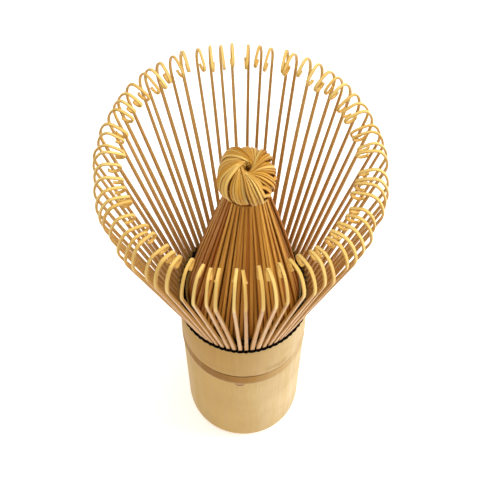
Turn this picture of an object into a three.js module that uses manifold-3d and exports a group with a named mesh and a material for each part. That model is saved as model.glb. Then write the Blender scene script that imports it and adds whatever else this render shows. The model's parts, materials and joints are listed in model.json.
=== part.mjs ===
// A bamboo tea whisk (chasen). One length of culm is the handle. Above a rim its wall is split
// into a ring of outer tines with hooked tips and a cone of inner tines, whose own tips are
// coiled into a knob. One black thread is laced round the roots of the outer tines.
// Millimetres. +Z runs up the culm, the origin is the centre of the foot, -Y is the front.

import * as THREE from 'three';
import { mergeVertices } from 'three/addons/utils/BufferGeometryUtils.js';
import Module from 'manifold-3d';

const wasm = await Module();
wasm.setup();

// Whole whisk
const whiskHeight = 110.5;
const rimHeight = 54; // where the culm stops being whole and the tines start
const tineCount = 68; // outer tines, and as many inner ones
const pieceGap = 0.3; // left between pieces that lie against each other

// Culm
const footRadius = 11.4;
const rimRadius = 12.5;
const footRounding = 2.6;
const footWall = 4.2;
const rimWall = 3.9;
const boreChamfer = 0.3;
const nodeHeight = 39.3; // the ring where a leaf grew, with the septum behind it
const nodeProud = 0.15;
const nodeNeck = 0.2;
const septumThickness = 2;

// Outer tines
const rootThickness = 0.8;
const kneeThickness = 0.42;
const tipThickness = 0.3;
const hookWidth = 0.64;
const rootInset = 0.2; // outer face of a root, inside the culm's skin
const kneeRadius = 24.8; // widest point of the whisk, on the outer face
const kneeDrop = 8; // straight part of a tine ends this far below the top
const crownReach = 2.5; // from the widest point in to the top of the hook
const hookReach = 4.75; // from the widest point in to the start of the curl
const hookFall = 0.95; // from the top down to the start of the curl
const curlRadius = 1.05;
const curlTurn = THREE.MathUtils.degToRad(210);
const curlHeading = THREE.MathUtils.degToRad(205); // way the hook points where the curl starts
const bridgeHeight = 0.6; // unsplit wood that joins two neighbouring roots
const tinesPerPair = 2;

// Lacing thread
const threadRadius = 0.275;
const threadPlay = 0.1; // between the thread and a tine, so that the tine can rock
const bridgePlay = 0.15; // between the thread and the bridge under it
const innerTurns = 4; // turns of thread stacked behind the tines
const passWidth = 0.16; // thread squeezed flat where it passes between two tines
const passHeight = 0.4;

// Inner tines and knob
const innerThickness = 0.5;
const innerRootLift = 0.9; // clears the rim when the bundle sways
const tinesPerGroup = 4;
const neckRadius = 3.2; // middle of the tines where they run into the knob
const neckGap = 0.5; // clears the neck when the knob nods
const knobDrop = 6.5; // middle of the knob, below the top of the whisk
const knobRadius = 4.95;
const knobHalfHeight = 4;
const knobOffset = 0.67; // the knob is tied a little to the right of the axis
const dimpleRadius = 0.9;
const dimpleDepth = 1;

// Values that follow from the sizes above
const rootRadius = rimRadius - rootInset - rootThickness / 2;
const rootHeight = rimHeight + pieceGap;
const tinePitch = (2 * Math.PI) / tineCount;
const rootWidth = tinePitch * (rootRadius - rootThickness / 2) - pieceGap;
const kneeStart = new THREE.Vector2(kneeRadius - kneeThickness, whiskHeight - kneeDrop);
const crown = new THREE.Vector2(kneeRadius - crownReach, whiskHeight - kneeThickness / 2);
const curlStart = new THREE.Vector2(kneeRadius - hookReach, whiskHeight - hookFall);
const tineLean = (kneeStart.x - rootRadius) / (kneeStart.y - rootHeight);
const laceHeight = rootHeight + bridgeHeight + bridgePlay + threadRadius;
const laceRadius = rootRadius + tineLean * (laceHeight - rootHeight); // middle of a laced tine
const laceReach = rootThickness / 2 + threadPlay + threadRadius; // from there to the thread's middle
const pileRadius = laceRadius - laceReach;
const innerRootRadius = pileRadius - threadRadius - pieceGap - innerThickness / 2;
const knobHeight = whiskHeight - knobDrop;
const neckHeight = knobHeight - knobHalfHeight;

// Bamboo and thread
const culmBamboo = new THREE.MeshStandardMaterial({ color: 0xe2c68e, roughness: 0.42, metalness: 0 });
const outerBamboo = new THREE.MeshStandardMaterial({ color: 0xe6c377, roughness: 0.5, metalness: 0 });
const innerBamboo = new THREE.MeshStandardMaterial({ color: 0xb98a45, roughness: 0.55, metalness: 0 });
const knobBamboo = new THREE.MeshStandardMaterial({ color: 0xd9ab52, roughness: 0.55, metalness: 0 });
const blackThread = new THREE.MeshStandardMaterial({ color: 0x15120f, roughness: 0.85, metalness: 0 });

// ---- Solids ----

// Keeps only the positions of a geometry and joins the corners that coincide.
function closedShape(geometry) {
  const bare = geometry.clone();
  bare.deleteAttribute('normal');
  bare.deleteAttribute('uv');
  return mergeVertices(bare, 1e-4);
}

function toSolid(geometry) {
  const shape = closedShape(geometry);
  return new wasm.Manifold(
    new wasm.Mesh({
      numProp: 3,
      vertProperties: shape.getAttribute('position').array,
      triVerts: new Uint32Array(shape.getIndex().array),
    }),
  );
}

function toGeometry(solid) {
  const { vertProperties, triVerts } = solid.getMesh();
  const geometry = new THREE.BufferGeometry();
  geometry.setAttribute('position', new THREE.BufferAttribute(vertProperties, 3));
  geometry.setIndex(new THREE.BufferAttribute(triVerts, 1));
  geometry.computeVertexNormals();
  return geometry;
}

// Turns an outline in the (radius, height) plane about the Z axis.
function turned(outline, segments) {
  return new THREE.LatheGeometry(outline, segments).rotateX(Math.PI / 2);
}

function arcPoints(centreRadius, centreHeight, radius, fromDegrees, toDegrees, steps) {
  const from = THREE.MathUtils.degToRad(fromDegrees);
  const to = THREE.MathUtils.degToRad(toDegrees);
  const arc = new THREE.EllipseCurve(centreRadius, centreHeight, radius, radius, from, to, to < from);
  return arc.getPoints(steps);
}

// Walks along a chain of smoothly joined curves and gives the place and heading at each step.
function walk(chain) {
  const start = chain[0].curve;
  const stations = [{ place: start.getPoint(0), heading: start.getTangent(0) }];
  for (const { curve, steps } of chain) {
    for (let step = 1; step <= steps; step += 1) {
      const share = step / steps;
      stations.push({ place: curve.getPoint(share), heading: curve.getTangent(share) });
    }
  }
  return stations;
}

// A strip of rectangular section bent along stations in the (radius, height) plane, standing
// in the plane Y = 0 on the +X side. sectionAt(station number) gives { width, thickness }.
function bentStrip(stations, sectionAt) {
  const steps = stations.length - 1;
  const strip = new THREE.BoxGeometry(1, 1, steps, 1, 1, steps);
  const position = strip.getAttribute('position');
  for (let corner = 0; corner < position.count; corner += 1) {
    const number = Math.round(position.getZ(corner) + steps / 2);
    const { place, heading } = stations[number];
    const { width, thickness } = sectionAt(number);
    const outward = position.getX(corner) * thickness;
    const sideways = position.getY(corner) * width;
    position.setXYZ(corner, place.x + heading.y * outward, sideways, place.y - heading.x * outward);
  }
  return strip;
}

// ---- Handle ----

function culmRadiusAt(height) {
  return THREE.MathUtils.lerp(footRadius, rimRadius, height / rimHeight);
}

// The culm is open at the foot and hollow above the septum, which closes it at the node.
function handleGeometry() {
  const boreRadius = footRadius - footWall;
  const headRadius = rimRadius - rimWall;
  const septumTop = nodeHeight + septumThickness / 2;
  const septumBottom = nodeHeight - septumThickness / 2;
  const skin = (height, proud) => new THREE.Vector2(culmRadiusAt(height) + proud, height);
  const outline = [
    new THREE.Vector2(0, septumBottom),
    new THREE.Vector2(boreRadius, septumBottom),
    new THREE.Vector2(boreRadius, boreChamfer),
    new THREE.Vector2(boreRadius + boreChamfer, 0),
    ...arcPoints(footRadius - footRounding, footRounding, footRounding, -90, 0, 5),
    skin(nodeHeight - 4, 0),
    skin(nodeHeight - 1.5, -nodeNeck),
    skin(nodeHeight - 0.4, nodeProud),
    skin(nodeHeight + 0.4, nodeProud),
    skin(nodeHeight + 1.2, -nodeNeck / 2),
    skin(nodeHeight + 2.5, 0),
    skin(rimHeight, 0),
    new THREE.Vector2(headRadius, rimHeight),
    new THREE.Vector2(headRadius, septumTop),
    new THREE.Vector2(0, septumTop),
  ];
  return turned(outline, 44);
}

// ---- Outer tines ----

// Straight from the root to the knee, over the crown, down to the curl and round it.
function outerTineStations() {
  const root = new THREE.Vector2(rootRadius, rootHeight);
  const lean = kneeStart.clone().sub(root).normalize();
  const rise = whiskHeight - kneeStart.y;
  const kneeHandle = kneeStart.clone().addScaledVector(lean, rise * 0.45);
  const crownHandle = crown.clone().add(new THREE.Vector2(crownReach * 0.65, 0));
  const fallHandle = crown.clone().sub(new THREE.Vector2((hookReach - crownReach) * 0.4, 0));
  const curlWay = new THREE.Vector2(Math.cos(curlHeading), Math.sin(curlHeading));
  const curlHandle = curlStart.clone().addScaledVector(curlWay, -hookFall * 0.6);
  const curlCentre = curlStart.clone().add(new THREE.Vector2(-curlWay.y, curlWay.x).multiplyScalar(curlRadius));
  const curlFrom = curlHeading - Math.PI / 2;
  const chain = [
    { curve: new THREE.LineCurve(root, kneeStart), steps: 1 },
    { curve: new THREE.CubicBezierCurve(kneeStart, kneeHandle, crownHandle, crown), steps: 3 },
    { curve: new THREE.CubicBezierCurve(crown, fallHandle, curlHandle, curlStart), steps: 2 },
    {
      curve: new THREE.EllipseCurve(
        curlCentre.x, curlCentre.y, curlRadius, curlRadius, curlFrom, curlFrom + curlTurn,
      ),
      steps: 3,
    },
  ];
  const stations = walk(chain);
  stations[0].heading.set(0, 1); // the root is cut square to the culm
  return stations;
}

function outerTineGeometry() {
  const stations = outerTineStations();
  const hookSteps = stations.length - 2;
  const sectionAt = (number) => {
    if (number === 0) {
      return { width: rootWidth, thickness: rootThickness };
    }
    const share = (number - 1) / hookSteps;
    return { width: hookWidth, thickness: THREE.MathUtils.lerp(kneeThickness, tipThickness, share) };
  };
  return bentStrip(stations, sectionAt);
}

// Two neighbouring tines and the bridge of unsplit wood between their roots.
function outerPairGeometry() {
  const half = tinePitch / 2;
  const left = toSolid(outerTineGeometry().rotateZ(half));
  const right = toSolid(outerTineGeometry().rotateZ(-half));
  const bridgeWidth = 2 * rootRadius * Math.sin(half);
  const bridge = new THREE.BoxGeometry(rootThickness * 0.7, bridgeWidth, bridgeHeight);
  bridge.translate(rootRadius * Math.cos(half), 0, rootHeight + bridgeHeight / 2);
  return toGeometry(left.add(right).add(toSolid(bridge)));
}

// ---- Lacing thread ----

// The thread runs round the outside of the tines, passes in between each two of them and piles
// up in turns behind them. It is one thread, so its runs and passes are one solid.
function lacingGeometry() {
  const outerRadius = laceRadius + laceReach;
  const pileTop = laceHeight + 2 * threadRadius * (innerTurns - 1);
  const outerRun = arcPoints(outerRadius, laceHeight, threadRadius, 0, 360, 6);
  const pile = [
    ...arcPoints(pileRadius, laceHeight, threadRadius, -180, 0, 2),
    ...arcPoints(pileRadius, pileTop, threadRadius, 0, 180, 2),
    new THREE.Vector2(pileRadius - threadRadius, laceHeight),
  ];
  let thread = toSolid(turned(outerRun, tineCount)).add(toSolid(turned(pile, tineCount)));
  for (let number = 0; number < tineCount; number += 1) {
    const pass = new THREE.BoxGeometry(2 * laceReach, passWidth, passHeight);
    pass.translate(laceRadius, 0, laceHeight);
    pass.rotateZ(number * tinePitch);
    thread = thread.add(toSolid(pass));
  }
  return toGeometry(thread);
}

// ---- Inner tines ----

function innerTineStations() {
  const root = new THREE.Vector2(innerRootRadius, rimHeight + innerRootLift);
  const neck = new THREE.Vector2(neckRadius, neckHeight - neckGap);
  const span = neck.clone().sub(root);
  const lowHandle = new THREE.Vector2(root.x + span.x * 0.13, root.y + span.y * 0.33);
  const highHandle = new THREE.Vector2(root.x + span.x * 0.81, root.y + span.y * 0.82);
  const stations = walk([{ curve: new THREE.CubicBezierCurve(root, lowHandle, highHandle, neck), steps: 5 }]);
  stations[0].heading.set(0, 1);
  stations[stations.length - 1].heading.set(0, 1);
  return stations;
}

// A group of inner tines lying side by side, as one strip that narrows towards the neck.
// leanAngle is the way the knob lies, seen from this group's own middle line.
function innerGroupGeometry(leanAngle) {
  const stations = innerTineStations();
  const halfAngle = (tinePitch * tinesPerGroup) / 2;
  const sectionAt = (number) => {
    const innerFace = stations[number].place.x - innerThickness / 2;
    return { width: 2 * innerFace * Math.tan(halfAngle) - pieceGap, thickness: innerThickness };
  };
  const strip = bentStrip(stations, sectionAt);
  const position = strip.getAttribute('position');
  const foot = stations[0].place.y;
  const top = stations[stations.length - 1].place.y;
  for (let corner = 0; corner < position.count; corner += 1) {
    const shift = (knobOffset * (position.getZ(corner) - foot)) / (top - foot);
    position.setX(corner, position.getX(corner) + shift * Math.cos(leanAngle));
    position.setY(corner, position.getY(corner) + shift * Math.sin(leanAngle));
  }
  return closedShape(strip);
}

// ---- Knob ----

// The coiled tips of the inner tines: a flattened ball with a dimple where they all dive in.
function knobGeometry() {
  const neckAngle = Math.acos(neckRadius / knobRadius);
  const brimAngle = Math.acos((2 * dimpleRadius) / knobRadius);
  const ball = new THREE.EllipseCurve(0, knobHeight, knobRadius, knobHalfHeight, -neckAngle, brimAngle);
  const brim = knobHeight + knobHalfHeight * Math.sin(brimAngle);
  const outline = [
    new THREE.Vector2(0, neckHeight),
    new THREE.Vector2(neckRadius * 0.8, neckHeight),
    ...ball.getPoints(9),
    new THREE.Vector2(dimpleRadius, brim),
    new THREE.Vector2(0, brim - dimpleDepth),
  ];
  return turned(outline, 24);
}

// ---- Assembly ----

function addPiece(parent, name, geometry, material) {
  const piece = new THREE.Mesh(geometry, material);
  piece.name = name;
  parent.add(piece);
  return piece;
}

function twoDigits(number) {
  return String(number).padStart(2, '0');
}

const whisk = new THREE.Group();
addPiece(whisk, 'handle', handleGeometry(), culmBamboo);
addPiece(whisk, 'lacing_thread', lacingGeometry(), blackThread);

const outerPair = outerPairGeometry();
const pairCount = tineCount / tinesPerPair;
for (let number = 1; number <= pairCount; number += 1) {
  const pair = addPiece(whisk, `outer_tines_${twoDigits(number)}`, outerPair, outerBamboo);
  pair.rotation.z = (number - 0.5) * tinesPerPair * tinePitch;
}

const groupCount = tineCount / tinesPerGroup;
for (let number = 1; number <= groupCount; number += 1) {
  const turn = (number - 0.5) * tinesPerGroup * tinePitch;
  const group = addPiece(whisk, `inner_tines_${twoDigits(number)}`, innerGroupGeometry(-turn), innerBamboo);
  group.rotation.z = turn;
}

const knob = addPiece(whisk, 'knob', knobGeometry(), knobBamboo);
knob.position.x = knobOffset;

export default whisk;
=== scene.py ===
import json
import math
import random

import bmesh
import bpy
from mathutils import Matrix, Vector
from mathutils.geometry import interpolate_bezier
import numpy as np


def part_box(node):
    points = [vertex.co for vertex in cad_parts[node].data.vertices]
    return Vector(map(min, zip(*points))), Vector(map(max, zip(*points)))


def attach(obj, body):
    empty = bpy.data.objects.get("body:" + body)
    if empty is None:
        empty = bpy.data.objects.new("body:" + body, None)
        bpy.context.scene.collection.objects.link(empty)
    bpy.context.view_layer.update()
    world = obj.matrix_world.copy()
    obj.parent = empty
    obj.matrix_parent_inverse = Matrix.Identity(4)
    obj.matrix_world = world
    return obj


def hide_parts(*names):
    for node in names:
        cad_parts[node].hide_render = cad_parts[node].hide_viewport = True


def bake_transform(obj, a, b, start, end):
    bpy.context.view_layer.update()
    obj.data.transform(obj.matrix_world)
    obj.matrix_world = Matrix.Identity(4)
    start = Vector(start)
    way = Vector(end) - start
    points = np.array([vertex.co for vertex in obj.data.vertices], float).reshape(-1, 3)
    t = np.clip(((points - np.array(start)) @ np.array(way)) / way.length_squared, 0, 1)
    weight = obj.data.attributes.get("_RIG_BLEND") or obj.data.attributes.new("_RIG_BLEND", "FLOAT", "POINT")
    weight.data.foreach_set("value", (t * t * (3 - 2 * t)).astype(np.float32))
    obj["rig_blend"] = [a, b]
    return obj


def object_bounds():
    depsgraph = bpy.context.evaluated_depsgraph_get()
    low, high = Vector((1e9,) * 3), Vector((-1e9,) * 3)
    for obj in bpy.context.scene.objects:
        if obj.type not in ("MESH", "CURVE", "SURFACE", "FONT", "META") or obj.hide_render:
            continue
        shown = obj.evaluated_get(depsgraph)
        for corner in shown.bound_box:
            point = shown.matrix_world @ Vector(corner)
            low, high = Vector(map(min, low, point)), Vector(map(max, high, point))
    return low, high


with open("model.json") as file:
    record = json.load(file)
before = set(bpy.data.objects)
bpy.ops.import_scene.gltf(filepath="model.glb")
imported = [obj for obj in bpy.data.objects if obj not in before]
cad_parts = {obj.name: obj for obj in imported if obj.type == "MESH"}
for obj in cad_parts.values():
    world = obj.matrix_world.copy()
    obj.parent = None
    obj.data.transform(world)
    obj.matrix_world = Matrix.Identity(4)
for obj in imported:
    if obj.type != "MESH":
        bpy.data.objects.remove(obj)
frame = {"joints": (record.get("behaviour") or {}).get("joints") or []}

cad_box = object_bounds()

# ---- Camera ----
# A long lens stands in front of the whisk and looks down into it, so that the ring of tines
# opens like a bowl and the knob sits in its middle.
mm = 0.001
elevation = math.radians(65.7)
camera_distance = 350 * mm
look_at = Vector((0, 0, cad_box[1].z - 32.6 * mm))

camera = bpy.data.objects.new("camera", bpy.data.cameras.new("camera"))
camera.data.lens = 145.3
camera.data.shift_x = -0.0071
camera.location = look_at + camera_distance * Vector((0, -math.cos(elevation), math.sin(elevation)))
camera.rotation_euler.x = math.pi / 2 - elevation
bpy.context.scene.collection.objects.link(camera)
bpy.context.scene.camera = camera

# ---- Studio ----
# A white table in a white room. One soft window stands to the right, a larger one hangs
# overhead, and the room fills the rest.
bpy.context.scene.view_settings.view_transform = "Standard"


def link_sockets(tree, node, sockets):
    """Sets or links a node's inputs by their names; an underscore stands for a space."""
    for name, value in sockets.items():
        socket = node.inputs[name.replace("_", " ")]
        if isinstance(value, bpy.types.NodeSocket):
            tree.links.new(value, socket)
        else:
            socket.default_value = value
    return node


def new_finish(name, **settings):
    """Makes a material and gives its node tree and its shader, with the shader's sockets set."""
    finish = bpy.data.materials.new(name)
    finish.use_nodes = True
    shader = finish.node_tree.nodes["Principled BSDF"]
    link_sockets(finish.node_tree, shader, settings)
    return finish, finish.node_tree, shader


def soft_window(name, place, size, power, tint):
    """Hangs a square soft light that faces the whisk."""
    window = bpy.data.lights.new(name, "AREA")
    window.size = size
    window.energy = power
    window.color = tint
    lamp = bpy.data.objects.new(name, window)
    lamp.location = place
    lamp.rotation_euler = (look_at - Vector(place)).to_track_quat("-Z", "Y").to_euler()
    bpy.context.scene.collection.objects.link(lamp)


soft_window("window_right", (0.62, 0.05, 0.46), 0.40, 2.8, (1.0, 0.99, 0.97))
soft_window("window_top", (0.10, 0.05, 0.95), 0.50, 4.2, (1.0, 0.98, 0.94))

room = bpy.data.worlds.new("room")
room.use_nodes = True
walls = room.node_tree.nodes["Background"]
walls.inputs["Color"].default_value = (1, 0.965, 0.91, 1)
walls.inputs["Strength"].default_value = 0.42
bright_walls = room.node_tree.nodes.new("ShaderNodeBackground")
bright_walls.inputs["Color"].default_value = (1, 1, 1, 1)
bright_walls.inputs["Strength"].default_value = 1.0
seen = room.node_tree.nodes.new("ShaderNodeLightPath")
either = room.node_tree.nodes.new("ShaderNodeMixShader")
room.node_tree.links.new(seen.outputs["Is Camera Ray"], either.inputs[0])
room.node_tree.links.new(walls.outputs[0], either.inputs[1])
room.node_tree.links.new(bright_walls.outputs[0], either.inputs[2])
room.node_tree.links.new(either.outputs[0], room.node_tree.nodes["World Output"].inputs["Surface"])
bpy.context.scene.world = room

table_bm = bmesh.new()
bmesh.ops.create_grid(table_bm, x_segments=8, y_segments=8, size=3)
table_mesh = bpy.data.meshes.new("table")
table_bm.to_mesh(table_mesh)
table_bm.free()
table_white, table_tree, table_shader = new_finish(
    "table_white", Roughness=0.9, Emission_Color=(1, 0.97, 0.93, 1), Emission_Strength=0.62)
table_noise = link_sockets(table_tree, table_tree.nodes.new("ShaderNodeTexNoise"), {"Scale": 3.0})
table_ramp = table_tree.nodes.new("ShaderNodeValToRGB")
table_ramp.color_ramp.elements[0].color = (0.86, 0.86, 0.86, 1)
table_ramp.color_ramp.elements[1].color = (0.90, 0.90, 0.90, 1)
table_tree.links.new(table_noise.outputs["Fac"], table_ramp.inputs["Fac"])
table_tree.links.new(table_ramp.outputs["Color"], table_shader.inputs["Base Color"])
table_mesh.materials.append(table_white)
table = bpy.data.objects.new("table", table_mesh)
bpy.context.scene.collection.objects.link(table)

# ---- Culm ----
# The handle is one length of bamboo with its node left on, sanded smooth and rounded at the
# foot. The lower internode is open at the foot and the node's septum closes the upper one.
culm_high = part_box("handle")[1]
rim_radius = culm_high.x
rim_height = culm_high.z
foot_radius = 11.4 * mm
foot_rounding = 3 * mm
bore_radius = 7.2 * mm
head_radius = 8.6 * mm
node_height = 39.3 * mm
septum_bottom, septum_top = node_height - 1 * mm, node_height + 1 * mm
edge_softening = 0.25 * mm
culm_segments = 144
fibre_stretch = 0.03
bump_strength = 0.6
crease_angle = math.radians(36)
# Height above the node's line and how far the skin stands proud of the taper there
node_shape = [(-5.5, 0), (-3.9, 0.03), (-3.3, 0.12), (-2.5, 0.02), (-0.9, -0.02), (-0.3, -0.05),
              (0, -0.17), (0.25, 0.02), (0.7, 0.08), (2.0, 0.03), (3.6, 0)]


def srgb(red, green, blue):
    """A colour from a paint chart that runs from 0 to 255, made linear for the shaders."""
    linear = [((part / 255 + 0.055) / 1.055) ** 2.4 for part in (red, green, blue)]
    return (*linear, 1)


def mix_colours(tree, share, first, second):
    """Mixes two colours by a share, each of them a socket or a value, and gives the result."""
    mixer = tree.nodes.new("ShaderNodeMix")
    mixer.data_type = "RGBA"
    for slot, value in ((0, share), (6, first), (7, second)):
        if isinstance(value, bpy.types.NodeSocket):
            tree.links.new(value, mixer.inputs[slot])
        else:
            mixer.inputs[slot].default_value = value
    return mixer.outputs[2]


def remap(tree, value, from_low, from_high, to_low=0.0, to_high=1.0):
    """Maps a value from one span to another, easing at both ends, and gives the result."""
    mapper = tree.nodes.new("ShaderNodeMapRange")
    mapper.interpolation_type = "SMOOTHSTEP"
    settings = {"Value": value, "From_Min": from_low, "From_Max": from_high,
                "To_Min": to_low, "To_Max": to_high}
    return link_sockets(tree, mapper, settings).outputs["Result"]


def calculate(tree, operation, first, second=0.0):
    """One sum on two values, each of them a socket or a number."""
    sum_node = tree.nodes.new("ShaderNodeMath")
    sum_node.operation = operation
    for number, value in enumerate((first, second)):
        if isinstance(value, bpy.types.NodeSocket):
            tree.links.new(value, sum_node.inputs[number])
        else:
            sum_node.inputs[number].default_value = value
    return sum_node.outputs[0]


def make_fibre_group():
    """Bamboo's long fibres: soft streaks, fine lines and cloudy patches, drawn out along Z."""
    group = bpy.data.node_groups.new("bamboo_fibre", "ShaderNodeTree")
    group.interface.new_socket("Place", in_out="INPUT", socket_type="NodeSocketVector")
    group.interface.new_socket("Streak Scale", in_out="INPUT", socket_type="NodeSocketFloat")
    group.interface.new_socket("Fibre Scale", in_out="INPUT", socket_type="NodeSocketFloat")
    for output in ("Streak", "Fibre", "Cloud"):
        group.interface.new_socket(output, in_out="OUTPUT", socket_type="NodeSocketFloat")
    entry = group.nodes.new("NodeGroupInput")
    exit_node = group.nodes.new("NodeGroupOutput")
    drawn_out = group.nodes.new("ShaderNodeVectorMath")
    drawn_out.operation = "MULTIPLY"
    drawn_out.inputs[1].default_value = (1, 1, fibre_stretch)
    group.links.new(entry.outputs["Place"], drawn_out.inputs[0])
    patterns = (("Streak", drawn_out.outputs[0], entry.outputs["Streak Scale"], 2.0),
                ("Fibre", drawn_out.outputs[0], entry.outputs["Fibre Scale"], 3.0),
                ("Cloud", entry.outputs["Place"], 90.0, 2.0))
    for output, place, scale, detail in patterns:
        noise = group.nodes.new("ShaderNodeTexNoise")
        link_sockets(group, noise, {"Vector": place, "Scale": scale, "Detail": detail})
        group.links.new(noise.outputs["Fac"], exit_node.inputs[output])
    return group


fibre_group = make_fibre_group()


def add_fibres(tree, place, streak_scale, fibre_scale):
    """Places the fibre group in a material and gives its node."""
    fibres = tree.nodes.new("ShaderNodeGroup")
    fibres.node_tree = fibre_group
    return link_sockets(tree, fibres, {"Place": place, "Streak_Scale": streak_scale,
                                       "Fibre_Scale": fibre_scale})


def add_bump(tree, shader, height, depth):
    """Turns a height pattern into the shader's normal."""
    bump = tree.nodes.new("ShaderNodeBump")
    link_sockets(tree, bump, {"Strength": bump_strength, "Distance": depth, "Height": height})
    tree.links.new(bump.outputs["Normal"], shader.inputs["Normal"])


def finish_piece(name, bm, finish):
    """Makes the named object from its bmesh, smooth but for edges that really turn a corner."""
    for face in bm.faces:
        face.smooth = True
    for edge in bm.edges:
        if edge.calc_face_angle(0) > crease_angle:
            edge.smooth = False
    mesh = bpy.data.meshes.new(name)
    bm.to_mesh(mesh)
    bm.free()
    mesh.materials.append(finish)
    piece = bpy.data.objects.new(name, mesh)
    bpy.context.scene.collection.objects.link(piece)
    return piece


def culm_radius(height):
    """The culm's plain taper, without its node."""
    return foot_radius + (rim_radius - foot_radius) * height / rim_height


def make_culm():
    bm = bmesh.new()
    outline = [(0, septum_bottom), (bore_radius, septum_bottom), (bore_radius, 0), (foot_radius, 0)]
    for rise, proud in node_shape:
        height = node_height + rise * mm
        outline.append((culm_radius(height) + proud * mm, height))
    outline += [(rim_radius, rim_height), (head_radius, rim_height),
                (head_radius, septum_top), (0, septum_top)]
    verts = [bm.verts.new((radius, 0, height)) for radius, height in outline]
    for one, other in zip(verts, verts[1:]):
        bm.edges.new((one, other))
    corners = [(verts[3], foot_rounding, 10), (verts[2], edge_softening, 2),
               (verts[-4], edge_softening, 3), (verts[-3], edge_softening, 2)]
    for corner, offset, segments in corners:
        bmesh.ops.bevel(bm, geom=[corner], offset=offset, affect="VERTICES", segments=segments,
                        profile=0.5, material=-1)
    bmesh.ops.spin(bm, geom=bm.verts[:] + bm.edges[:], cent=(0, 0, 0), axis=(0, 0, 1),
                   angle=2 * math.pi, steps=culm_segments, use_merge=True)
    bmesh.ops.remove_doubles(bm, verts=bm.verts, dist=0.001 * mm)
    # A grown culm is a little oval, and its node dips and rises round it
    for vert in bm.verts:
        around = math.atan2(vert.co.y, vert.co.x)
        near_node = math.exp(-(((vert.co.z - node_height) / (3 * mm)) ** 2))
        swell = 1 + 0.004 * math.cos(2 * around + 0.8) + 0.002 * math.sin(5 * around)
        vert.co.x *= swell
        vert.co.y *= swell
        vert.co.z += near_node * (0.22 * math.sin(around + 2.4) + 0.1 * math.sin(3 * around + 1)) * mm
    bmesh.ops.recalc_face_normals(bm, faces=bm.faces)
    return bm


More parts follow.
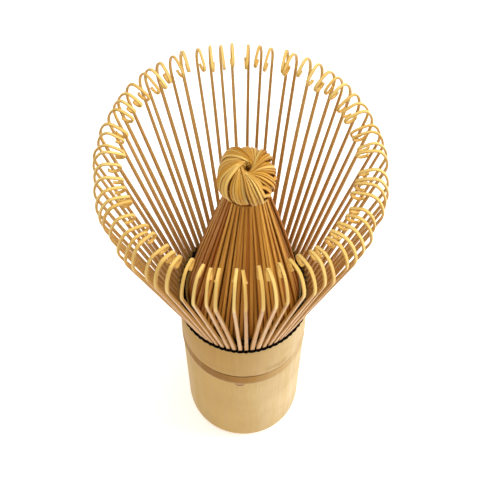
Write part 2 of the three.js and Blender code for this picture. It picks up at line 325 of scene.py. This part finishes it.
def make_culm_finish():
    """Pale straw skin, darker above the node, with a caramel band under the node's line."""
    finish, tree, shader = new_finish(
        "culm_skin", Roughness=0.42, Specular_IOR_Level=0.05)
    place = tree.nodes.new("ShaderNodeTexCoord").outputs["Object"]
    fibres = add_fibres(tree, place, 900.0, 5200.0)
    split = link_sockets(tree, tree.nodes.new("ShaderNodeSeparateXYZ"), {"Vector": place})
    across, height = split.outputs["X"], split.outputs["Z"]
    streak = remap(tree, fibres.outputs["Streak"], 0.3, 0.7)
    cloud = remap(tree, fibres.outputs["Cloud"], 0.35, 0.65)
    fibre = remap(tree, fibres.outputs["Fibre"], 0.35, 0.7)
    # Painted light: the skin is painted paler and less saturated from left to right, standing in for the
    # right window's light and sheen
    painted_lit_side = remap(tree, across, -6 * mm, 12 * mm)
    lower = mix_colours(tree, painted_lit_side, srgb(201, 163, 88), srgb(225, 201, 152))
    upper = mix_colours(tree, painted_lit_side, srgb(189, 144, 68), srgb(216, 190, 141))
    above_node = remap(tree, height, node_height - 0.3 * mm, node_height + 0.5 * mm)
    colour = mix_colours(tree, above_node, lower, upper)
    colour = mix_colours(tree, calculate(tree, "MULTIPLY", streak, 0.3), colour, srgb(212, 178, 114))
    colour = mix_colours(tree, calculate(tree, "MULTIPLY", cloud, 0.3), colour, srgb(188, 148, 84))
    colour = mix_colours(tree, calculate(tree, "MULTIPLY", fibre, 0.14), colour, srgb(160, 118, 62))
    # Patchy brown darkening just above the node, fading out upward
    near_node_darkening = remap(tree, height, node_height + 5 * mm, node_height + 0.5 * mm)
    near_node_darkening = calculate(tree, "MULTIPLY", near_node_darkening, above_node)
    blotch = tree.nodes.new("ShaderNodeTexNoise")
    link_sockets(tree, blotch, {"Vector": place, "Scale": 260.0, "Detail": 3.0})
    patchy = remap(tree, blotch.outputs["Fac"], 0.42, 0.68, 0.0, 0.6)
    colour = mix_colours(tree, calculate(tree, "MULTIPLY", near_node_darkening, patchy), colour, srgb(156, 110, 48))
    # The band under the line is strongest at the front left and fades to the right
    low_edge = remap(tree, height, node_height - 4.1 * mm, node_height - 3.0 * mm)
    high_edge = remap(tree, height, node_height + 0.25 * mm, node_height - 0.05 * mm)
    band = calculate(tree, "MULTIPLY", low_edge, high_edge)
    fade = remap(tree, across, -1 * mm, 11 * mm, 0.97, 0.30)
    band = calculate(tree, "MULTIPLY", band, fade)
    # The caramel band is also painted paler on the lit right side
    caramel = mix_colours(tree, painted_lit_side, srgb(142, 94, 20), srgb(176, 130, 58))
    caramel = mix_colours(tree, calculate(tree, "MULTIPLY", cloud, 0.5), caramel, srgb(176, 126, 46))
    colour = mix_colours(tree, band, colour, caramel)
    # The line itself, and a thin shadowed lip at the band's foot
    lines = ((0.02, 0.42, 1.0, (92, 54, 18)),
             (-3.75, 0.5, 0.45, (150, 104, 50)))
    for centre, half_width, depth, shade in lines:
        offset = calculate(tree, "ABSOLUTE", calculate(tree, "SUBTRACT", height, node_height + centre * mm))
        line = remap(tree, offset, half_width * mm, 0.0, 0.0, depth)
        colour = mix_colours(tree, calculate(tree, "MULTIPLY", line, fade), colour, srgb(*shade))
    # The foot's rounding is browner toward its bottom edge
    foot = remap(tree, height, 2.6 * mm, 0.2 * mm, 0.0, 0.7)
    colour = mix_colours(tree, foot, colour, srgb(194, 152, 92))
    # Inside, the bore is raw and brown
    radius = tree.nodes.new("ShaderNodeVectorMath")
    radius.operation = "LENGTH"
    flat = tree.nodes.new("ShaderNodeVectorMath")
    flat.operation = "MULTIPLY"
    flat.inputs[1].default_value = (1, 1, 0)
    tree.links.new(place, flat.inputs[0])
    tree.links.new(flat.outputs[0], radius.inputs[0])
    inside = remap(tree, radius.outputs["Value"], 9.6 * mm, 8.8 * mm)
    raw_wood = mix_colours(tree, streak, srgb(170, 126, 76), srgb(196, 154, 100))
    colour = mix_colours(tree, inside, colour, raw_wood)
    tree.links.new(colour, shader.inputs["Base Color"])
    roughness = remap(tree, fibres.outputs["Streak"], 0.3, 0.7, 0.36, 0.5)
    tree.links.new(roughness, shader.inputs["Roughness"])
    add_bump(tree, shader, fibres.outputs["Fibre"], 0.015 * mm)
    return finish


culm = finish_piece("culm", make_culm(), make_culm_finish())
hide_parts("handle")
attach(culm, "handle")

# ---- Bud scar ----
# Where a side branch would have grown, just under the node: a small lens-shaped scar, cut
# flush with the skin, with a dark sunken lip.
bud_half_width = 1.05 * mm
bud_half_height = 0.95 * mm
bud_height = node_height - 4.2 * mm
bud_turn = math.radians(-93.5)


def make_bud_scar():
    bm = bmesh.new()
    rim = bmesh.ops.create_circle(bm, cap_ends=True, segments=28, radius=1)["verts"]
    for vert in rim:
        vert.co.y *= 1 - 0.35 * vert.co.x ** 2
    lips = bmesh.ops.inset_region(bm, faces=bm.faces[:], thickness=0.16, depth=0.16)["faces"]
    floor = [face for face in bm.faces if face not in lips]
    bmesh.ops.inset_region(bm, faces=floor, thickness=0.12, depth=-0.3)
    floor = [face for face in floor if face.is_valid]
    bmesh.ops.inset_region(bm, faces=floor, thickness=0.25, depth=0.12)
    for vert in bm.verts:
        across = vert.co.x * bud_half_width
        height = bud_height + vert.co.y * bud_half_height
        radius = culm_radius(height) + (0.02 + 0.35 * vert.co.z) * mm
        turn = bud_turn + across / radius
        vert.co = Vector((radius * math.cos(turn), radius * math.sin(turn), height))
    bmesh.ops.recalc_face_normals(bm, faces=bm.faces)
    return bm


def make_bud_finish():
    finish, tree, shader = new_finish("bud_scar_wood", Roughness=0.6, Specular_IOR_Level=0.3)
    place = tree.nodes.new("ShaderNodeTexCoord").outputs["Object"]
    fibres = add_fibres(tree, place, 2500.0, 7000.0)
    height = link_sockets(tree, tree.nodes.new("ShaderNodeSeparateXYZ"), {"Vector": place}).outputs["Z"]
    lowest = remap(tree, height, bud_height - 0.2 * mm, bud_height - 0.8 * mm)
    colour = mix_colours(tree, fibres.outputs["Streak"], srgb(190, 148, 92), srgb(160, 116, 64))
    colour = mix_colours(tree, lowest, colour, srgb(112, 76, 36))
    tree.links.new(colour, shader.inputs["Base Color"])
    add_bump(tree, shader, fibres.outputs["Fibre"], 0.04 * mm)
    return finish


bud_scar = finish_piece("bud_scar", make_bud_scar(), make_bud_finish())
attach(bud_scar, "handle")

# ---- Outer tines ----
# The culm's wall is split into strips, shaved thin and hooked over a hot iron, so each tine
# leans out, bends at the knee, runs over the crown and curls back under. No two are alike.
tine_count = 68
pair_count = tine_count // 2
tine_pitch = 2 * math.pi / tine_count
corner_cut = 0.07 * mm
root_sink = 0.5 * mm
root_radius = 11.9 * mm
whisk_height = cad_box[1].z
knee_radius = cad_box[1].x - 0.36 * mm
knee_height = whisk_height - 8 * mm
crown_radius = knee_radius - 2.1 * mm
crown_height = whisk_height - 0.21 * mm
curl_start_radius = knee_radius - 4.35 * mm
curl_start_height = whisk_height - 0.95 * mm
curl_heading = math.radians(205)
ring_shift = 0.5 * mm
ring_flattening = 0.45 * mm
back_inset = 0.75 * mm
back_left_bulge = 0.5 * mm
stem_steps, knee_steps, crown_steps, curl_steps = 22, 9, 4, 10
bulge_turn = math.radians(130)
most_hook_lean = math.radians(6)
least_curl_drift, most_curl_drift = 0.1 * mm, 0.4 * mm
# A stem's width and thickness at its root, in millimetres
root_width, root_thickness = 0.80, 0.78
# Its width at a knee in front, and how much narrower a knee at the back is
front_knee_width, knee_narrowing = 0.60, 0.12
# How far the tips of a cluster close up, as a share of the pitch
gather_share = 0.12
cluster_sizes = (2, 3, 3, 4)
most_stray = math.radians(0.6)


def add_rod(bm, steps, **shape):
    """Adds an upright rod 1 m long, cut across into equal steps, and gives its points."""
    rod = bmesh.ops.create_cone(bm, depth=1, **shape)["verts"]
    sides = [edge for vert in rod if vert.co.z < 0 for edge in vert.link_edges
             if edge.other_vert(vert).co.z > 0]
    pieces = bmesh.ops.subdivide_edges(bm, edges=sides, cuts=steps - 1)["geom_split"]
    edges = [piece for piece in pieces if isinstance(piece, bmesh.types.BMEdge)]
    return list(dict.fromkeys(vert for edge in edges for vert in edge.verts))


def bend_strip(bm, places, acrosses, widths, thicknesses, tint):
    """Adds a straight strip with its corners cut, and bends it along a path.

    Each place has the strip's way across, width and thickness there. The strip keeps its
    unbent shape in the attribute grain_place, so that its fibres follow the bends, and runs
    from -1 to 1 across its width in the attribute side.
    """
    steps = len(places) - 1
    strip = add_rod(bm, steps, cap_ends=True, segments=8, radius1=1, radius2=1,
                    matrix=Matrix.Rotation(math.pi / 8, 4, "Z"))
    grain_layer = bm.verts.layers.float_vector["grain_place"]
    tint_layer = bm.verts.layers.float["tint"]
    side_layer = bm.verts.layers.float["side"]
    along = [0.0]
    for one, other in zip(places, places[1:]):
        along.append(along[-1] + (other - one).length)
    frames = []
    for number, place in enumerate(places):
        heading = (places[min(number + 1, steps)] - places[max(number - 1, 0)]).normalized()
        face = acrosses[number].cross(heading).normalized()
        frames.append((place, heading.cross(face), face))
    for vert in strip:
        number = round((vert.co.z + 0.5) * steps)
        half_width, half_thickness = widths[number] / 2, thicknesses[number] / 2
        cut_across = 0 if abs(vert.co.x) > 0.6 else corner_cut
        cut_out = 0 if abs(vert.co.y) > 0.6 else corner_cut
        across = math.copysign(half_width - cut_across, vert.co.x)
        out = math.copysign(half_thickness - cut_out, vert.co.y)
        place, way_across, face = frames[number]
        vert.co = place + across * way_across + out * face
        vert[grain_layer] = Vector((across + tint, out, along[number]))
        vert[tint_layer] = tint
        vert[side_layer] = across / half_width


def new_strip_mesh():
    """An empty bmesh with the three attributes that every strip carries."""
    bm = bmesh.new()
    bm.verts.layers.float_vector.new("grain_place")
    bm.verts.layers.float.new("tint")
    bm.verts.layers.float.new("side")
    return bm


def start_strip_finish(name, streak_scale, roughness):
    """A split-bamboo material's start: its tree, shader, grain, tint, streak and an edge mask for painted
    shade between strips.
    """
    finish, tree, shader = new_finish(name, Roughness=roughness, Specular_IOR_Level=0.1)
    grain = tree.nodes.new("ShaderNodeAttribute")
    grain.attribute_name = "grain_place"
    own = tree.nodes.new("ShaderNodeAttribute")
    own.attribute_name = "tint"
    side = tree.nodes.new("ShaderNodeAttribute")
    side.attribute_name = "side"
    fibres = add_fibres(tree, grain.outputs["Vector"], streak_scale, 9000.0)
    streak = remap(tree, fibres.outputs["Streak"], 0.3, 0.7)
    # Painted shade: the strip's sides darken where the gaps between strips fall into shade
    edge = remap(tree, calculate(tree, "ABSOLUTE", side.outputs["Fac"]), 0.45, 0.95)
    worn = remap(tree, streak, 0.0, 1.0, roughness - 0.07, roughness + 0.1)
    tree.links.new(worn, shader.inputs["Roughness"])
    add_bump(tree, shader, fibres.outputs["Fibre"], 0.03 * mm)
    return finish, tree, shader, grain.outputs["Vector"], own.outputs["Fac"], streak, edge


def swung(radius, turn, height):
    return Vector((radius * math.cos(turn), radius * math.sin(turn), height))


def outer_tine_side_view(chance):
    """A tine's path in its own (radius, height) plane, from the root to the end of its curl."""
    knee_out = chance.uniform(-0.3, 0.3) * mm
    knee_up = chance.uniform(-0.6, 0.6) * mm
    knee = Vector((knee_radius + knee_out, 0, knee_height + knee_up))
    root = Vector((root_radius - 0.1 * mm, 0, rim_height - root_sink))
    lean = (knee - root).normalized()
    lift = chance.uniform(-0.45, 0.12) * mm
    crown = Vector((crown_radius + chance.uniform(-0.25, 0.25) * mm, 0, crown_height + lift))
    curl_start = Vector((curl_start_radius + chance.uniform(-0.35, 0.45) * mm, 0, curl_start_height + lift))
    curl_radius = chance.uniform(0.85, 1.15) * mm
    curl_turn = math.radians(chance.uniform(185, 250))
    heading = curl_heading + math.radians(chance.uniform(-8, 10))
    way = Vector((math.cos(heading), 0, math.sin(heading)))
    rise = crown.z - knee.z
    path = [root.lerp(knee, number / stem_steps) for number in range(stem_steps)]
    path += interpolate_bezier(knee, knee + lean * rise * 0.42, crown + Vector((rise * 0.19, 0, 0)), crown,
                               knee_steps + 1)[:-1]
    reach = crown.x - curl_start.x
    path += interpolate_bezier(crown, crown - Vector((reach * 0.4, 0, 0)), curl_start - way * reach * 0.35,
                               curl_start, crown_steps + 1)[:-1]
    centre = curl_start + curl_radius * Vector((-way.z, 0, way.x))
    spoke = curl_start - centre
    for number in range(curl_steps + 1):
        path.append(centre + Matrix.Rotation(-curl_turn * number / curl_steps, 3, "Y") @ spoke)
    return path


def ring_place(turn):
    """How far the ring has moved at this turn: aside, flatter, and drawn in at the back."""
    behind = max(math.sin(turn), 0) ** 3
    bulge = back_left_bulge * max(math.cos(turn - bulge_turn), 0) ** 6
    inward = ring_flattening * math.sin(turn) + back_inset * behind
    return Vector((-ring_shift, -inward, 0)) + swung(bulge, turn, 0)


def add_outer_tine(bm, turn, swing, chance):
    """Stands one tine at its turn round the culm, with its own small mistakes."""
    path = outer_tine_side_view(chance)
    knee = path[stem_steps]
    hook_lean = chance.uniform(-most_hook_lean, most_hook_lean)
    curl_drift = chance.choice((-1, 1)) * chance.uniform(least_curl_drift, most_curl_drift)
    girth = chance.uniform(0.9, 1.1)
    # The tines at the front were left a little wider at the knee
    knee_width = front_knee_width - knee_narrowing * min(max(math.sin(turn) + 0.8, 0), 1)
    places, acrosses, widths, thicknesses = [], [], [], []
    for number, point in enumerate(path):
        share = min(number / stem_steps, 1)
        heading_turn = turn + swing * share
        shift = ring_place(turn) * share
        if number <= stem_steps:
            place = swung(point.x, heading_turn, point.z)
        else:
            place = swung(knee.x, heading_turn, knee.z)
            place += swung(point.x - knee.x, heading_turn + hook_lean, point.z - knee.z)
            heading_turn += hook_lean
        across = Vector((-math.sin(heading_turn), math.cos(heading_turn), 0))
        curl_share = max(number + curl_steps + 1 - len(path), 0) / curl_steps
        places.append(place + shift + across * curl_drift * curl_share)
        acrosses.append(across)
        past_knee = max(number - stem_steps, 0) / (len(path) - 1 - stem_steps)
        widths.append((root_width - (root_width - knee_width) * share ** 0.7 + 0.04 * past_knee) * girth * mm)
        thicknesses.append((root_thickness - 0.36 * share ** 0.6 - 0.12 * past_knee) * mm)
    bend_strip(bm, places, acrosses, widths, thicknesses, chance.random())


def gather_tines(chance):
    """The tips drift together in twos, threes and fours; gives how far each tine swings."""
    swings = []
    while len(swings) < tine_count:
        size = chance.choice(cluster_sizes)
        for place in range(size):
            stray = chance.uniform(-most_stray, most_stray)
            swings.append(((size - 1) / 2 - place) * gather_share * tine_pitch + stray)
    return swings[:tine_count]


def make_outer_finish():
    """Cream skin on the stems' outer faces, golden split wood elsewhere and on the hooks."""
    finish, tree, shader, grain, tint, streak, edge = start_strip_finish("outer_tine_wood", 2600.0, 0.45)
    split = link_sockets(tree, tree.nodes.new("ShaderNodeSeparateXYZ"), {"Vector": grain})
    knee_along = knee_height - rim_height
    hooked = remap(tree, split.outputs["Z"], knee_along + 0.6 * mm, knee_along + 3.4 * mm)
    skin = remap(tree, split.outputs["Y"], 0.13 * mm, 0.19 * mm)
    skin_colour = mix_colours(tree, tint, srgb(228, 184, 136), srgb(208, 160, 108))
    wood_colour = mix_colours(tree, tint, srgb(228, 190, 118), srgb(206, 162, 90))
    hook_colour = mix_colours(tree, tint, srgb(255, 224, 138), srgb(244, 202, 112))
    stem = mix_colours(tree, skin, wood_colour, skin_colour)
    colour = mix_colours(tree, hooked, stem, hook_colour)
    colour = mix_colours(tree, calculate(tree, "MULTIPLY", streak, 0.3), colour, srgb(174, 128, 60))
    # Painted shade between the tines, laid on each tine's sides
    colour = mix_colours(tree, calculate(tree, "MULTIPLY", edge, 0.45), colour, srgb(176, 120, 42))
    tree.links.new(colour, shader.inputs["Base Color"])
    return finish


outer_finish = make_outer_finish()
outer_chance = random.Random(68)
outer_swings = gather_tines(outer_chance)
for number in range(1, pair_count + 1):
    pair_bm = new_strip_mesh()
    pair_turn = (number - 0.5) * 2 * tine_pitch
    for side in (0, 1):
        tine_turn = pair_turn + (side - 0.5) * tine_pitch
        add_outer_tine(pair_bm, tine_turn, outer_swings[2 * number - 2 + side], outer_chance)
    node = f"outer_tines_{number:02d}"
    pair = finish_piece(f"outer_tine_pair_{number:02d}", pair_bm, outer_finish)
    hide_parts(node)
    lace = next(joint for joint in frame["joints"] if joint["child"] == node)
    hinge = Vector(lace["pos_m"])
    stem_foot = swung(root_radius, pair_turn, rim_height)
    stem_way = (swung(knee_radius, pair_turn, knee_height) - stem_foot).normalized()
    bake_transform(pair, "handle", node, start=hinge, end=hinge + stem_way * 16 * mm)

# ---- Lacing thread ----
# One black cotton thread, waxed and laid in three twisted plies. It crosses the front of each
# tine, drops back through the gap beside it and is piled up in four turns behind them.
thread_radius = 0.27 * mm
thread_height = rim_height + 0.5 * mm
thread_run_radius = rim_radius + 0.16 * mm
pile_radius = 11.38 * mm
pile_foot = rim_height + 1.325 * mm
pile_turns = 4
plies = 3
ply_depth = 0.08
twist_per_tine = 1.5
pass_width = 0.26 * mm
pass_height = 0.75 * mm


def add_thread_ring(bm, radius, height, steps, wander):
    """Bends a rod round into one turn of thread, twists its plies and shifts it by wander(turn)."""
    rod = add_rod(bm, steps, segments=12, radius1=thread_radius, radius2=thread_radius)
    for vert in rod:
        turn = 2 * math.pi * (vert.co.z + 0.5)
        out, up = vert.co.x, vert.co.y
        lay = math.atan2(up, out) * plies + turn * tine_count * twist_per_tine
        swell = 1 + ply_depth * math.cos(lay)
        shift_out, shift_up = wander(turn)
        vert.co = swung(radius + out * swell + shift_out, turn, height + up * swell + shift_up)
    bmesh.ops.remove_doubles(bm, verts=rod, dist=0.001 * mm)


def over_and_under(turn):
    """The outer run bulges over each tine and slants down into the next gap."""
    phase = (turn - tine_pitch / 2) * tine_count
    return (0.05 * math.cos(phase) - 0.02) * mm, (0.06 * math.sin(phase) + 0.05 * math.sin(turn * 9)) * mm


def make_thread():
    bm = new_strip_mesh()
    add_thread_ring(bm, thread_run_radius, thread_height, tine_count * 14, over_and_under)
    chance = random.Random(7)
    for turn_number in range(pile_turns):
        lag = chance.uniform(0, 6)
        loose = chance.uniform(0.03, 0.07)
        height = pile_foot + 2 * thread_radius * turn_number
        add_thread_ring(bm, pile_radius, height, tine_count * 6,
                        lambda turn: (loose * math.sin(11 * turn + lag) * mm,
                                      loose * math.sin(7 * turn + lag) * mm))
    for number in range(tine_count):
        turn = number * tine_pitch
        outer = swung(thread_run_radius, turn, thread_height + 0.15 * mm)
        inner = swung(pile_radius, turn, pile_foot + 0.5 * mm)
        middle = outer.lerp(inner, 0.5) + Vector((0, 0, 0.12 * mm))
        tangent = Vector((-math.sin(turn), math.cos(turn), 0))
        bend_strip(bm, [outer, outer.lerp(middle, 0.5), middle, inner], [tangent] * 4,
                   [pass_width] * 4, [pass_height] * 4, chance.random())
    bmesh.ops.recalc_face_normals(bm, faces=bm.faces)
    return bm


def make_thread_finish():
    finish, tree, shader = new_finish("black_cotton", Roughness=0.85, Specular_IOR_Level=0.02)
    place = tree.nodes.new("ShaderNodeTexCoord").outputs["Object"]
    fuzz = tree.nodes.new("ShaderNodeTexNoise")
    link_sockets(tree, fuzz, {"Vector": place, "Scale": 9000.0, "Detail": 3.0})
    colour = mix_colours(tree, fuzz.outputs["Fac"], srgb(8, 6, 5), srgb(24, 19, 16))
    tree.links.new(colour, shader.inputs["Base Color"])
    tree.links.new(remap(tree, fuzz.outputs["Fac"], 0.3, 0.7, 0.7, 0.92), shader.inputs["Roughness"])
    add_bump(tree, shader, fuzz.outputs["Fac"], 0.03 * mm)
    return finish


thread = finish_piece("thread", make_thread(), make_thread_finish())
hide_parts("lacing_thread")
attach(thread, "handle")

# ---- Inner tines ----
# The inner half of the wall, split into as many strips again. They lean in as a cone and are
# drawn together under the knob, so near the top they lie over each other.
group_count = 17
tines_per_group = 4
inner_root_radius = 10.557 * mm
neck_radius = 3.15 * mm
neck_height = whisk_height - 10.7 * mm
knob_lean = 0.67 * mm
inner_steps = 18
# A strip at its root, and what it has lost by the neck, in millimetres
inner_width, inner_narrowing = 0.78, 0.30
inner_thickness, inner_thinning = 0.50, 0.20


def inner_tine_side_view():
    """The path of an inner tine in its (radius, height) plane, from the wall to the neck."""
    root = Vector((inner_root_radius, 0, rim_height - root_sink))
    neck = Vector((neck_radius, 0, neck_height))
    span = neck - root
    low = Vector((root.x + span.x * 0.13, 0, root.z + span.z * 0.33))
    high = Vector((root.x + span.x * 0.81, 0, root.z + span.z * 0.82))
    return interpolate_bezier(root, low, high, neck, inner_steps + 1)


def add_inner_tine(bm, turn, layer, chance):
    drift = math.radians(chance.uniform(-2.2, 2.2))
    depth = (chance.uniform(-0.16, 0.1) - 0.28 * layer) * mm
    bulge = chance.uniform(-0.25, 0.15) * mm
    roll = math.radians(chance.uniform(-16, 16))
    girth = chance.uniform(0.88, 1.12)
    places, acrosses, widths, thicknesses = [], [], [], []
    for point in inner_tine_side_view():
        share = (point.z - rim_height + root_sink) / (neck_height - rim_height + root_sink)
        here = turn + drift * share ** 2
        radius = point.x + depth * min(share * 3, 1) + bulge * math.sin(math.pi * share)
        places.append(swung(radius, here, point.z) + Vector((knob_lean * share, 0, 0)))
        tangent = Vector((-math.sin(here), math.cos(here), 0))
        radial = Vector((math.cos(here), math.sin(here), 0))
        acrosses.append(tangent * math.cos(roll * share) + radial * math.sin(roll * share))
        widths.append((inner_width - inner_narrowing * share) * girth * mm)
        thicknesses.append((inner_thickness - inner_thinning * share) * mm)
    bend_strip(bm, places, acrosses, widths, thicknesses, chance.random())


def make_inner_finish():
    """Golden brown strips, reddish where the light doesn't reach down between them."""
    finish, tree, shader, _, tint, streak, edge = start_strip_finish("inner_tine_wood", 2200.0, 0.5)
    colour = mix_colours(tree, tint, srgb(240, 182, 76), srgb(180, 108, 18))
    colour = mix_colours(tree, calculate(tree, "MULTIPLY", streak, 0.45), colour, srgb(150, 82, 12))
    colour = mix_colours(tree, calculate(tree, "MULTIPLY", edge, 0.45), colour, srgb(122, 62, 8))
    tree.links.new(colour, shader.inputs["Base Color"])
    return finish


inner_finish = make_inner_finish()
inner_chance = random.Random(17)
for number in range(1, group_count + 1):
    group_bm = new_strip_mesh()
    group_turn = (number - 0.5) * tines_per_group * tine_pitch
    for place_in_group in range(tines_per_group):
        turn = group_turn + (place_in_group - 1.5) * tine_pitch
        add_inner_tine(group_bm, turn, place_in_group % 2, inner_chance)
    node = f"inner_tines_{number:02d}"
    group = finish_piece(f"inner_tine_group_{number:02d}", group_bm, inner_finish)
    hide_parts(node)
    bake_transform(group, "handle", "inner_bundle", start=(0, 0, rim_height + 0.4 * mm),
             end=(0, 0, rim_height + 18 * mm))

# ---- Knob ----
# The tips of the inner tines are gathered into petals of a few strands, folded down over the
# neck in a swirl and drawn back up through the middle, where they all dive into one dimple.
knob_low, knob_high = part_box("knob")
knob_radius = (knob_high.x - knob_low.x) / 2
knob_axis = (knob_high.x + knob_low.x) / 2
knob_middle = whisk_height - 6.5 * mm
swirl_offset = 1.05 * mm
petal_strands = (5, 4, 6, 5, 4, 5, 5, 6, 4)
open_gaps = (math.radians(-12), math.radians(-52))
strand_pitch = 2 * math.pi / sum(petal_strands)
knob_outline = [((0.45, 0.9), (0.48, 2.4), (0.85, 3.7), (1.75, 3.82), 6),
                ((1.75, 3.82), (3.3, 3.84), (4.8, 2.4), (4.82, 0.2), 9),
                ((4.82, 0.2), (4.84, -1.8), (3.8, -3.0), (3.1, -4.1), 8),
                ((3.1, -4.1), (2.95, -4.5), (2.8, -5.0), (2.75, -5.5), 3)]
# A strand at its ends, how much wider it is halfway, and its thickness, in millimetres
strand_width, strand_swell, strand_thickness = 0.33, 0.31, 0.34
petal_arch = 0.18 * mm
wrap_steps = 16
wrap_count = 4
wrap_thickness = 0.3 * mm
core_strands = 30
core_shrink = 0.8
core_roll = 0.1


def knob_side_view(puff):
    """A strand's path in its (radius, height) plane, out of the dimple and down to the neck."""
    path = []
    for *corners, steps in knob_outline:
        first, out_handle, in_handle, last = [Vector((x * mm, 0, z * mm)) for x, z in corners]
        path += interpolate_bezier(first, out_handle, in_handle, last, steps + 1)[:-1]
    path.append(last)
    for point in path:
        belly = math.sin(math.pi * min(point.x / knob_radius, 1) / 2) ** 2
        point.x += puff * belly
        point.z += 0.5 * puff * belly
    return path


def add_knob_strand(bm, turn, puff, lift, shrink, roll, chance):
    """Lays one strand over the knob: up out of the dimple in a swirl, round and down."""
    path = knob_side_view(puff)
    last = len(path) - 1
    girth = chance.uniform(0.82, 1.28)
    wobble = chance.uniform(-0.03, 0.03)
    places, acrosses, widths, thicknesses = [], [], [], []
    for number, point in enumerate(path):
        share = number / last
        radius = point.x * shrink
        lag = math.acos(min(swirl_offset / max(radius, swirl_offset), 1)) - math.pi / 2
        here = turn + lag + 1.1 * max(share - 0.4, 0) ** 1.3 + wobble * math.sin(6 * share)
        for gap in open_gaps:
            beside = math.remainder(here - gap, 2 * math.pi)
            apart = math.exp(-((beside / 0.3) ** 2)) * math.sin(math.pi * min(max(share - 0.35, 0) * 1.7, 1))
            here += math.copysign(0.09 * apart, beside)
        height = knob_middle + point.z * shrink + lift * (1 - share) ** 2
        places.append(swung(radius, here, height) + Vector((knob_axis, 0, 0)))
    for number, place in enumerate(places):
        share = number / last
        heading = (places[min(number + 1, last)] - places[max(number - 1, 0)]).normalized()
        outward = (place - Vector((knob_axis, 0, knob_middle))).normalized()
        across = heading.cross(outward).normalized()
        face = across.cross(heading)
        tilt = roll * (1.5 - share)
        acrosses.append(across * math.cos(tilt) + face * math.sin(tilt))
        belly = math.sin(math.pi * min(share * 1.1, 1)) ** 0.7
        widths.append((strand_width + strand_swell * belly) * girth * mm)
        thicknesses.append(strand_thickness * mm)
    bend_strip(bm, places, acrosses, widths, thicknesses, chance.random())


def add_neck_wrap(bm, level, chance):
    """Lays a strand slantwise round the front of the neck, which binds the petals' ends."""
    places, acrosses, widths = [], [], []
    for number in range(wrap_steps + 1):
        share = number / wrap_steps
        turn = math.radians(212 + 96 * share + 3 * level)
        height = -2.2 - 1.7 * share - 0.36 * level
        radius = max(3.62 + 0.52 * (height + 4.1), 3.45) + 0.1 * math.sin(math.pi * share) - 0.4 * share ** 6
        places.append(swung(radius * mm, turn, knob_middle + height * mm) + Vector((knob_axis, 0, 0)))
        slope = Vector((0.45 * math.cos(turn), 0.45 * math.sin(turn), 0.89))
        acrosses.append(slope)
        widths.append((0.3 + 0.2 * math.sin(math.pi * share)) * mm)
    bend_strip(bm, places, acrosses, widths, [wrap_thickness] * (wrap_steps + 1), chance.random())


def make_knob():
    bm = new_strip_mesh()
    chance = random.Random(21)
    first_strand = 0
    for number, strands in enumerate(petal_strands):
        puff = (0.16 if number % 2 else -0.18) * mm + chance.uniform(-0.14, 0.14) * mm
        lift = (0.28 if number % 2 else -0.2) * mm
        petal_swing = math.radians(chance.uniform(-1.2, 1.2))
        for strand in range(strands):
            turn = (first_strand + strand + 0.5) * strand_pitch + petal_swing
            # A petal's strands crowd together, which opens the dark wedge beside it
            turn += (strand - (strands - 1) / 2) * strand_pitch * -0.05
            edge_on = strand / (strands - 1)
            arch = math.sin(math.pi * edge_on) * petal_arch
            add_knob_strand(bm, turn, puff + arch + chance.uniform(-0.14, 0.14) * mm, lift, 1,
                            math.radians(chance.uniform(16, 38)), chance)
        first_strand += strands
    for level in range(wrap_count):
        add_neck_wrap(bm, level, chance)
    return bm


def make_knob_core():
    bm = new_strip_mesh()
    chance = random.Random(5)
    for number in range(core_strands):
        turn = 2 * math.pi * number / core_strands
        puff = chance.uniform(-0.1, 0.1) * mm
        add_knob_strand(bm, turn, puff, 0, core_shrink, core_roll, chance)
    return bm


def make_knob_finish(name, light, dark, deep):
    finish, tree, shader, _, tint, streak, edge = start_strip_finish(name, 2600.0, 0.42)
    colour = mix_colours(tree, tint, srgb(*light), srgb(*dark))
    colour = mix_colours(tree, calculate(tree, "MULTIPLY", streak, 0.4), colour, srgb(*deep))
    # Painted shade in the dark lines between the strands, laid on each strand's sides
    colour = mix_colours(tree, calculate(tree, "MULTIPLY", edge, 0.75), colour, srgb(*deep))
    tree.links.new(colour, shader.inputs["Base Color"])
    return finish


knob_mesh = make_knob()
knob_finish = make_knob_finish("knob_wood", (252, 216, 126), (222, 164, 62), (146, 84, 8))
knob = finish_piece("knob_strands", knob_mesh, knob_finish)
core_mesh = make_knob_core()
# Painted shade: the core, seen deep between the petals, takes a darker copy of the knob's wood
core_shade_finish = make_knob_finish("knob_core_shaded_wood", (168, 104, 40), (136, 78, 26), (92, 48, 14))
core = finish_piece("knob_core", core_mesh, core_shade_finish)
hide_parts("knob")
for piece in (knob, core):
    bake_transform(piece, "inner_bundle", "knob", start=(knob_axis, 0, neck_height - 0.8 * mm),
             end=(knob_axis, 0, neck_height + 1.6 * mm))
